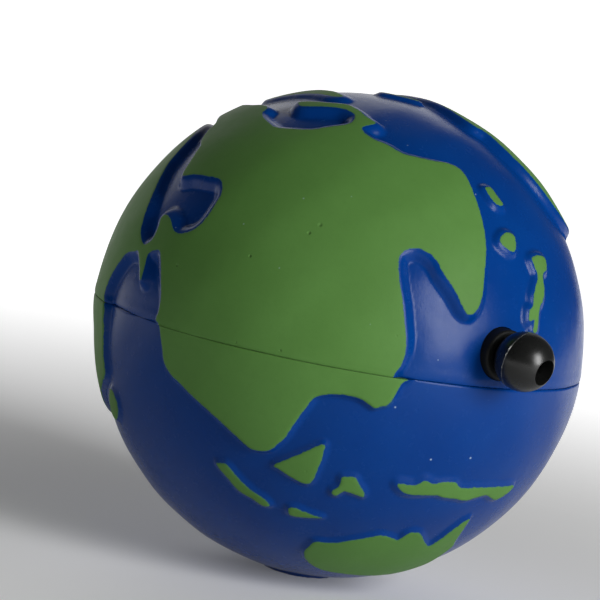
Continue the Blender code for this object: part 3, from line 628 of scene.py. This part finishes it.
def make_bead(material):
    """A bored ball, with finer rows of mesh under its parting line."""
    lip = asin(BEAD_HOLE / BEAD_RADIUS)
    count = 72
    rows = [lip + (pi - 2 * lip) * i / count for i in range(count + 1)]
    middle, fine = acos(FLASH_ALONG / BEAD_RADIUS), 0.012
    near = [middle + fine * k for k in range(-5, 6)]
    rows = sorted([r for r in rows if abs(r - middle) > 5.5 * fine] + near)
    outer = [(BEAD_RADIUS * sin(r), BEAD_RADIUS * cos(r)) for r in rows]
    inner = [(BEAD_HOLE * 0.93, -3.6), (BEAD_WAIST, -1.5), (BEAD_WAIST, -0.9), (BEAD_HOLE - 0.1, -0.9),
             (BEAD_HOLE, -0.75), (BEAD_HOLE, 2.4)]
    profile = softened(outer + inner, 0.16)
    steps = 200
    turn = BEAD_AXIS.to_track_quat("Z", "Y").to_matrix()
    place = cord_line(BEAD_CENTRE)
    rings, flash = [], []
    for i in range(steps):
        angle = 2 * pi * i / steps
        height = flash_height(angle)
        ring = []
        for radius, along in profile:
            on_skin = radius > BEAD_HOLE + 1
            on_flash = exp(-((along - FLASH_ALONG) / FLASH_WIDTH) ** 2) if on_skin else 0.0
            out = radius + height * on_flash
            ring.append((place + turn @ Vector((out * cos(angle), out * sin(angle), along))) * MM)
            flash.append(on_flash * min(1.0, 0.35 + height * 7))
        rings.append(ring)
    mesh = mesh_from_rings("bead", rings, closed=True)
    layer = mesh.attributes.new("flash", "FLOAT", "POINT")
    layer.data.foreach_set("value", flash)
    bead = add_object("moulded_bead", mesh, material, 60)
    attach(bead, "bead")
    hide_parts("pull_bead")


def make_knot(material):
    """The cord's end tied in an overhand knot that rests on the bead's waist."""
    turn = BEAD_AXIS.to_track_quat("Z", "Y").to_matrix()
    middle = cord_line(BEAD_CENTRE) + BEAD_AXIS.normalized() * KNOT_ALONG
    path = []
    steps = 96
    for i in range(steps + 1):
        t = 2 * pi * i / steps * 0.985   # a little short, so that the ends stay apart
        path.append(middle + turn @ Vector((sin(t) + 2 * sin(2 * t), cos(t) - 2 * cos(2 * t),
                                            -1.3 * sin(3 * t))) * KNOT_SIZE)
    knot = add_object("tied_knot", tube("tied_knot", path, KNOT_STRAND), material, 50)
    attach(knot, "cord")
    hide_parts("cord_knot")


def make_cord(material):
    """The run from the drum to the knot, a straight tube fixed in place. On the toy it pays out from the
    drum as the bead is pulled.
    """
    low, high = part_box("pull_cord")
    start, end = low.x / MM, high.x / MM
    count = 160
    path = [cord_line(start + (end - start) * i / (count - 1)) for i in range(count)]
    cord = add_object("braided_cord", tube("braided_cord", path, CORD_RADIUS), material, 50)
    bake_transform(cord)
    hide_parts("pull_cord")


def make_winding(material):
    turns = WINDING_TURNS
    low = WINDING_LEVELS[0] + CORD_RADIUS + WINDING_CLEARANCE
    high = WINDING_LEVELS[1] - CORD_RADIUS - WINDING_CLEARANCE
    path = []
    steps = 72 * turns
    for i in range(steps + 1):
        angle = 2 * pi * turns * i / steps
        path.append((DRUM_AXIS[0] + WINDING_RADIUS * cos(angle), DRUM_AXIS[1] + WINDING_RADIUS * sin(angle),
                     BALL_CENTRE + low + (high - low) * i / steps))
    winding = add_object("wound_cord", tube("wound_cord", path, CORD_RADIUS, sides=12), material, 50)
    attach(winding, "drum")
    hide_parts("cord_winding")


def make_mainspring(material):
    first, last = SPRING_RADII
    steps = SPRING_COILS * 64
    rings = []
    half = SPRING_THICKNESS / 2
    low, high = (BALL_CENTRE + level for level in SPRING_LEVELS)
    edge = SPRING_EDGE
    section = ((-half, low + edge), (-half + edge, low), (half - edge, low), (half, low + edge),
               (half, high - edge), (half - edge, high), (-half + edge, high), (-half, high - edge))
    for step in range(steps + 1):
        angle = 2 * pi * SPRING_COILS * step / steps
        middle = first + (last - first) * step / steps
        rings.append([Vector((DRUM_AXIS[0] + (middle + out) * cos(angle),
                              DRUM_AXIS[1] + (middle + out) * sin(angle), level)) * MM
                      for out, level in section])
    spring = add_object("coiled_spring", mesh_from_rings("coiled_spring", rings), material, 30)
    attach(spring, "root")
    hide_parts("mainspring")


# Materials

LAND_GREENS = ((0.076, 0.186, 0.039), (0.086, 0.206, 0.046))
LAND_SHADE = (0.064, 0.156, 0.034)
LAND_RIM = (0.040, 0.130, 0.045)
OCEAN_BLUES = ((0.0002, 0.031, 0.180), (0.0004, 0.037, 0.200))
OCEAN_SHADE = (0.0002, 0.030, 0.150)
RAW_FOAM = (0.004, 0.045, 0.21)
SPECK_COLOUR = (0.42, 0.52, 0.62)
OCEAN_ROUGHNESS = 0.255
LAND_ROUGHNESS = 0.56


class Shader:
    """A material's node tree, with short calls to add nodes to it."""

    def __init__(self, name):
        self.material = bpy.data.materials.new(name)
        self.material.use_nodes = True
        self.tree = self.material.node_tree
        self.shader = self.tree.nodes["Principled BSDF"]
        self.place = self.add("ShaderNodeTexCoord").outputs["Object"]

    def add(self, kind, **settings):
        node = self.tree.nodes.new(kind)
        for key, value in settings.items():
            setattr(node, key, value)
        return node

    def feed(self, socket, value):
        if isinstance(value, bpy.types.NodeSocket):
            self.tree.links.new(value, socket)
        elif isinstance(value, tuple) and len(value) == 3 and socket.type == "RGBA":
            socket.default_value = (*value, 1.0)
        else:
            socket.default_value = value

    def math(self, operation, a, b=0.0, clamp=False):
        node = self.add("ShaderNodeMath", operation=operation, use_clamp=clamp)
        self.feed(node.inputs[0], a)
        self.feed(node.inputs[1], b)
        return node.outputs[0]

    def noise(self, per_mm, detail=2.0, roughness=0.5, place=None):
        node = self.add("ShaderNodeTexNoise")
        self.feed(node.inputs["Vector"], place or self.place)
        self.feed(node.inputs["Scale"], per_mm / MM)
        self.feed(node.inputs["Detail"], detail)
        self.feed(node.inputs["Roughness"], roughness)
        return node.outputs["Fac"]

    def spread(self, value, low, high, start=0.0, end=1.0, smooth=False):
        node = self.add("ShaderNodeMapRange", interpolation_type="SMOOTHSTEP" if smooth else "LINEAR")
        for name, item in (("Value", value), ("From Min", low), ("From Max", high), ("To Min", start),
                           ("To Max", end)):
            self.feed(node.inputs[name], item)
        return node.outputs["Result"]

    def mix(self, share, a, b):
        node = self.add("ShaderNodeMix", data_type="RGBA")
        self.feed(node.inputs["Factor"], share)
        self.feed(node.inputs[6], a)
        self.feed(node.inputs[7], b)
        return node.outputs[2]

    def attribute(self, name):
        return self.add("ShaderNodeAttribute", attribute_name=name).outputs["Fac"]

    def bump(self, height, distance_mm, strength=1.0, under=None):
        node = self.add("ShaderNodeBump")
        self.feed(node.inputs["Height"], height)
        self.feed(node.inputs["Distance"], distance_mm * MM)
        self.feed(node.inputs["Strength"], strength)
        if under is not None:
            self.feed(node.inputs["Normal"], under)
        return node.outputs["Normal"]

    def stretched(self, x, y, z):
        node = self.add("ShaderNodeMapping")
        self.feed(node.inputs["Vector"], self.place)
        node.inputs["Scale"].default_value = (x, y, z)
        return node.outputs["Vector"]

    def near(self, point, reach_mm):
        """1 at a point, falling to 0 at the reach."""
        node = self.add("ShaderNodeVectorMath", operation="DISTANCE")
        self.feed(node.inputs[0], self.place)
        node.inputs[1].default_value = point
        return self.spread(node.outputs["Value"], 0.0, reach_mm * MM, 1.0, 0.0, smooth=True)

    def set(self, **values):
        names = {"colour": "Base Color", "roughness": "Roughness", "normal": "Normal",
                 "metallic": "Metallic", "specular": "Specular IOR Level", "ior": "IOR",
                 "sheen": "Sheen Weight", "sheen_roughness": "Sheen Roughness",
                 "anisotropic": "Anisotropic", "subsurface": "Subsurface Weight",
                 "subsurface_scale": "Subsurface Scale"}
        for key, value in values.items():
            self.feed(self.shader.inputs[names[key]], value)


def painted_foam():
    """Blue foam skin with green sprayed land: satin, ragged at the spray mask's edge."""
    s = Shader("painted_foam")
    shore = s.attribute("shore")
    ragged = s.math("MULTIPLY", s.math("SUBTRACT", s.noise(1.1, 4.0, 0.6), 0.5), 0.42)
    fray = s.math("MULTIPLY", s.math("SUBTRACT", s.noise(4.5, 2.0, 0.5), 0.5), 0.14)
    edge = s.math("ADD", shore, s.math("ADD", ragged, fray))
    land = s.spread(edge, -0.09, 0.03, smooth=True)

    mist_place = ball_point(*OVERSPRAY[:2], radius=(OCEAN_RADIUS + LAND_RADIUS) / 2)
    mist = s.math("MULTIPLY", s.near(mist_place, OVERSPRAY[2]), s.spread(s.noise(1.7, 3.0), 0.35, 0.6))
    green_share = s.math("MAXIMUM", land, s.math("MULTIPLY", mist, 0.75))

    mottle = s.noise(0.09, 3.0, 0.55)
    green = s.mix(s.spread(mottle, 0.3, 0.7), *LAND_GREENS)
    green = s.mix(s.spread(s.noise(0.9, 4.0, 0.65), 0.45, 0.8, 0.0, 0.25), green, LAND_SHADE)
    blue = s.mix(s.spread(mottle, 0.3, 0.7), *OCEAN_BLUES)
    blue = s.mix(s.spread(s.noise(1.4, 4.0, 0.6), 0.5, 0.85, 0.0, 0.3), blue, OCEAN_SHADE)
    rim = s.math("MULTIPLY", s.spread(edge, 0.0, 0.28, 1.0, 0.0), land)
    green = s.mix(s.math("MULTIPLY", rim, 0.35), green, LAND_RIM)
    colour = s.mix(green_share, blue, green)

    cells = s.add("ShaderNodeTexVoronoi", feature="F1")
    s.feed(cells.inputs["Vector"], s.place)
    s.feed(cells.inputs["Scale"], 0.16 / MM)
    dot = s.spread(cells.outputs["Distance"], 0.0, 0.028, 1.0, 0.0)
    specks = s.math("MULTIPLY", dot, 0.6)
    for longitude, latitude, size in SPECKS:
        place = ball_point(longitude, latitude, OCEAN_RADIUS + 0.05)
        specks = s.math("MAXIMUM", specks, s.near(place, size * 1.5))
    colour = s.mix(s.math("MULTIPLY", specks, 0.8), colour, SPECK_COLOUR)

    raw = s.attribute("raw_foam")
    colour = s.mix(raw, colour, RAW_FOAM)

    rough = s.mix(land, (OCEAN_ROUGHNESS,) * 3, (LAND_ROUGHNESS,) * 3)
    rough = s.math("ADD", rough, s.spread(s.noise(0.5, 4.0, 0.6), 0.3, 0.7, -0.035, 0.035))
    rough = s.math("ADD", rough, s.math("MULTIPLY", raw, 0.3))

    dents = None
    for longitude, latitude, size in DENTS:
        one = s.near(ball_point(longitude, latitude), size)
        dents = one if dents is None else s.math("MAXIMUM", dents, one)
    pits = s.add("ShaderNodeTexVoronoi", feature="F1")
    s.feed(pits.inputs["Vector"], s.place)
    s.feed(pits.inputs["Scale"], 0.21 / MM)
    pit = s.spread(pits.outputs["Distance"], 0.0, 0.055, 1.0, 0.0, smooth=True)
    normal = s.bump(s.noise(0.22, 3.0, 0.5), 0.22, 0.30)
    normal = s.bump(s.noise(3.2, 4.0, 0.6), 0.035, 0.35, under=normal)
    normal = s.bump(land, 0.05, 0.6, under=normal)
    normal = s.bump(s.math("MULTIPLY", dents, -1.0), 0.13, 1.0, under=normal)
    normal = s.bump(s.math("MULTIPLY", pit, -1.0), 0.05, 0.7, under=normal)
    s.set(colour=colour, roughness=rough, normal=normal, specular=0.13, ior=1.47)
    return s.material


def black_moulding(name, roughness, specular):
    """Glossy black plastic. Its parting flash is scuffed pale."""
    s = Shader(name)
    flash = s.attribute("flash")
    broken = s.spread(s.noise(1.8, 3.0, 0.6), 0.38, 0.62)
    pale = s.math("MULTIPLY", flash, s.math("ADD", 0.35, s.math("MULTIPLY", broken, 0.65)), clamp=True)
    wear = s.spread(s.noise(0.7, 5.0, 0.65), 0.60, 0.78, 0.0, 0.15)
    black = s.mix(wear, (0.0075, 0.0078, 0.0075), (0.017, 0.017, 0.016))
    colour = s.mix(pale, black, (0.42, 0.42, 0.40))
    scratches = s.noise(6.0, 3.0, 0.6, place=s.stretched(0.25, 1.0, 1.0))
    rough = s.spread(s.noise(0.9, 4.0, 0.6), 0.3, 0.7, *roughness)
    rough = s.math("ADD", rough, s.math("MULTIPLY", pale, 0.3))
    normal = s.bump(s.noise(0.35, 2.0), 0.05, 0.25)
    normal = s.bump(scratches, 0.012, 0.35, under=normal)
    s.set(colour=colour, roughness=rough, normal=normal, specular=specular)
    return s.material


def braided_nylon():
    """Black braid: strands cross each other both ways round the cord, with painted shade between them and a
    painted highlight on their crowns.
    """
    s = Shader("braided_nylon")
    uv = s.add("ShaderNodeUVMap", uv_map="along").outputs["UV"]
    split = s.add("ShaderNodeSeparateXYZ")
    s.feed(split.inputs[0], uv)
    along = s.math("MULTIPLY", split.outputs["X"], 2 * pi / 0.9)
    around = s.math("MULTIPLY", split.outputs["Y"], 2 * pi * 4)
    one = s.math("SINE", s.math("ADD", along, around))
    other = s.math("SINE", s.math("SUBTRACT", along, around))
    strands = s.math("MAXIMUM", s.math("ABSOLUTE", one), s.math("ABSOLUTE", other))
    # The colour follows the strands' relief: painted shade in the grooves between them and a painted
    # highlight on their crowns.
    colour = s.mix(s.spread(strands, 0.5, 1.0), (0.008, 0.008, 0.009), (0.034, 0.034, 0.037))
    normal = s.bump(strands, 0.09, 0.9)
    normal = s.bump(s.noise(9.0, 2.0), 0.02, 0.5, under=normal)
    s.set(colour=colour, roughness=s.spread(strands, 0.5, 1.0, 0.75, 0.5), normal=normal, sheen=0.25,
          sheen_roughness=0.4)
    return s.material


def moulded_plastic(name, dark, light, rough, grain_per_mm, grain_depth, glow=0.0):
    """Unpainted moulded plastic: faint flow marks in the colour and a fine texture."""
    s = Shader(name)
    flow = s.noise(0.12, 3.0, 0.5, place=s.stretched(1.0, 0.35, 1.0))
    colour = s.mix(s.spread(flow, 0.3, 0.7), dark, light)
    dust = s.spread(s.noise(1.6, 5.0, 0.65), 0.6, 0.8, 0.0, 0.2)
    colour = s.mix(dust, colour, tuple(0.6 * c for c in dark))
    normal = s.bump(s.noise(grain_per_mm, 3.0, 0.6), grain_depth, 0.6)
    s.set(colour=colour, roughness=s.spread(s.noise(0.6, 4.0), 0.3, 0.7, rough - 0.06, rough + 0.08),
          normal=normal, subsurface=glow, subsurface_scale=MM)
    return s.material


def ground_steel(name, dark, light, rough):
    """Steel with fine grinding lines and a little tarnish."""
    s = Shader(name)
    lines = s.noise(7.0, 4.0, 0.6, place=s.stretched(1.0, 1.0, 0.06))
    tarnish = s.noise(0.5, 4.0, 0.6)
    colour = s.mix(s.spread(tarnish, 0.35, 0.7), light, dark)
    normal = s.bump(lines, 0.02, 0.6)
    s.set(colour=colour, roughness=s.spread(lines, 0.3, 0.7, rough - 0.07, rough + 0.10), normal=normal,
          metallic=1.0, anisotropic=0.4)
    return s.material


def blued_strip():
    """Spring strip, heat-blued with straw patches."""
    s = Shader("blued_strip")
    heat = s.noise(0.25, 3.0, 0.5)
    colour = s.mix(s.spread(heat, 0.35, 0.65), (0.10, 0.15, 0.34), (0.32, 0.26, 0.20))
    lines = s.noise(8.0, 3.0, 0.6, place=s.stretched(0.1, 0.1, 1.0))
    s.set(colour=colour, roughness=s.spread(lines, 0.3, 0.7, 0.22, 0.36), metallic=1.0,
          normal=s.bump(lines, 0.015, 0.5))
    return s.material


def dress_drive(nodes):
    """Better materials and softened edges for the drive's own CAD pieces."""
    grey = moulded_plastic("case_grey", (0.36, 0.37, 0.38), (0.44, 0.45, 0.46), 0.5, 4.0, 0.03)
    acetal = moulded_plastic("gear_acetal", (0.80, 0.78, 0.71), (0.88, 0.87, 0.82), 0.34, 1.5, 0.01, 0.15)
    red = moulded_plastic("drum_red", (0.58, 0.055, 0.035), (0.70, 0.08, 0.05), 0.36, 2.0, 0.015)
    steel = ground_steel("ground_steel", (0.42, 0.41, 0.40), (0.62, 0.62, 0.63), 0.3)
    dull_steel = ground_steel("weight_steel", (0.34, 0.33, 0.32), (0.50, 0.49, 0.48), 0.42)
    groups = ((grey, 0.18, ("case_lower", "case_upper")),
              (acetal, 0.06, ("pawl_1", "pawl_2", "ratchet_gear", "idler_gear", "eccentric_pinion")),
              (red, 0.12, ("cord_drum", "barrel_cover")),
              (steel, 0.05, ("case_screw_1", "case_screw_2", "case_screw_3", "case_screw_4",
                             "spring_arbor", "idler_shaft", "eccentric_shaft")),
              (dull_steel, 0.15, ("eccentric_weight",)))
    for material, edge, names in groups:
        for name in names:
            node = nodes[name]
            node.material_slots[0].material = material
            bevel = node.modifiers.new("soft_edges", "BEVEL")
            bevel.width = edge * MM
            bevel.segments = 2
            bevel.limit_method = "ANGLE"
            bevel.angle_limit = radians(40)


# Studio

def add_softbox(name, direction, distance, size, power, spread):
    """A rectangular light that faces the ball's centre."""
    centre = Vector((0, 0, BALL_CENTRE * MM))
    lamp = bpy.data.lights.new(name, "AREA")
    lamp.shape = "RECTANGLE"
    lamp.size, lamp.size_y = size
    lamp.energy = power
    lamp.spread = spread
    item = bpy.data.objects.new(name, lamp)
    item.location = centre + direction.normalized() * distance
    item.rotation_euler = direction.to_track_quat("Z", "Y").to_euler()
    bpy.context.scene.collection.objects.link(item)


def seen(right, up, back):
    """A direction given along the camera's axes."""
    return VIEW_RIGHT * right + VIEW_UP * up + VIEW_BACK * back


def make_world():
    """Soft pale surroundings, brightest behind the ball."""
    world = bpy.data.worlds.new("studio")
    bpy.context.scene.world = world
    world.use_nodes = True
    tree = world.node_tree
    background = tree.nodes["Background"]
    way = tree.nodes.new("ShaderNodeTexCoord").outputs["Generated"]
    facing = tree.nodes.new("ShaderNodeVectorMath")
    facing.operation = "DOT_PRODUCT"
    tree.links.new(way, facing.inputs[0])
    facing.inputs[1].default_value = seen(*BACKDROP_WAY)
    ramp = tree.nodes.new("ShaderNodeMapRange")
    ramp.interpolation_type = "SMOOTHSTEP"
    tree.links.new(facing.outputs["Value"], ramp.inputs["Value"])
    ramp.inputs["From Min"].default_value = BACKDROP_FADE[0]
    ramp.inputs["From Max"].default_value = BACKDROP_FADE[1]
    ramp.inputs["To Min"].default_value = WORLD_DIM
    ramp.inputs["To Max"].default_value = WORLD_BRIGHT
    tree.links.new(ramp.outputs["Result"], background.inputs["Strength"])
    background.inputs["Color"].default_value = (1.0, 1.0, 1.0, 1.0)


def make_floor():
    s = Shader("pale_floor")
    tint = s.mix(s.spread(s.noise(0.004, 3.0), 0.3, 0.7), (0.80, 0.80, 0.80), (0.83, 0.83, 0.83))
    s.set(colour=tint, roughness=0.6, specular=0.2, normal=s.bump(s.noise(0.8, 2.0), 0.02, 0.2))
    # The floor gives off painted light of its own, weakest next to the ball as a painted shadow round it and
    # brightest far off.
    s.feed(s.shader.inputs["Emission Color"], (1.0, 1.0, 1.0))
    away = s.add("ShaderNodeVectorMath", operation="LENGTH")
    s.feed(away.inputs[0], s.place)
    glow = s.spread(away.outputs["Value"], *FLOOR_GLOW_REACH, *FLOOR_GLOW, smooth=True)
    s.feed(s.shader.inputs["Emission Strength"], glow)
    steps = 64
    rim = [(FLOOR_REACH * cos(2 * pi * i / steps), FLOOR_REACH * sin(2 * pi * i / steps), 0.0)
           for i in range(steps)]
    mesh = bpy.data.meshes.new("floor")
    mesh.from_pydata(rim, [], [tuple(range(steps))])
    add_object("floor", mesh, s.material)


def make_camera():
    data = bpy.data.cameras.new("camera")
    data.lens = LENS
    data.sensor_width = SENSOR
    data.clip_start, data.clip_end = 0.01, 50.0
    item = bpy.data.objects.new("camera", data)
    turn = Matrix((VIEW_RIGHT, VIEW_UP, VIEW_BACK)).transposed().to_4x4()
    item.matrix_world = Matrix.Translation(VIEW_FROM + Vector((0, 0, BALL_CENTRE * MM))) @ turn
    bpy.context.scene.collection.objects.link(item)
    bpy.context.scene.camera = item


def main():
    foam = painted_foam()
    black = black_moulding("black_moulding", (0.26, 0.33), 0.42)
    satin = black_moulding("satin_moulding", (0.46, 0.58), 0.15)
    braid = braided_nylon()
    make_foam_half(1, foam)
    make_foam_half(-1, foam)
    make_guide(satin)
    make_bead(black)
    make_knot(braid)
    make_cord(braid)
    make_winding(braid)
    make_mainspring(blued_strip())
    dress_drive(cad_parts)
    make_camera()
    bpy.context.scene.view_settings.view_transform = "Standard"
    make_world()
    make_floor()
    add_softbox("key", seen(*KEY_WAY), KEY_DISTANCE, KEY_SIZE, KEY_POWER, KEY_SPREAD)


main()
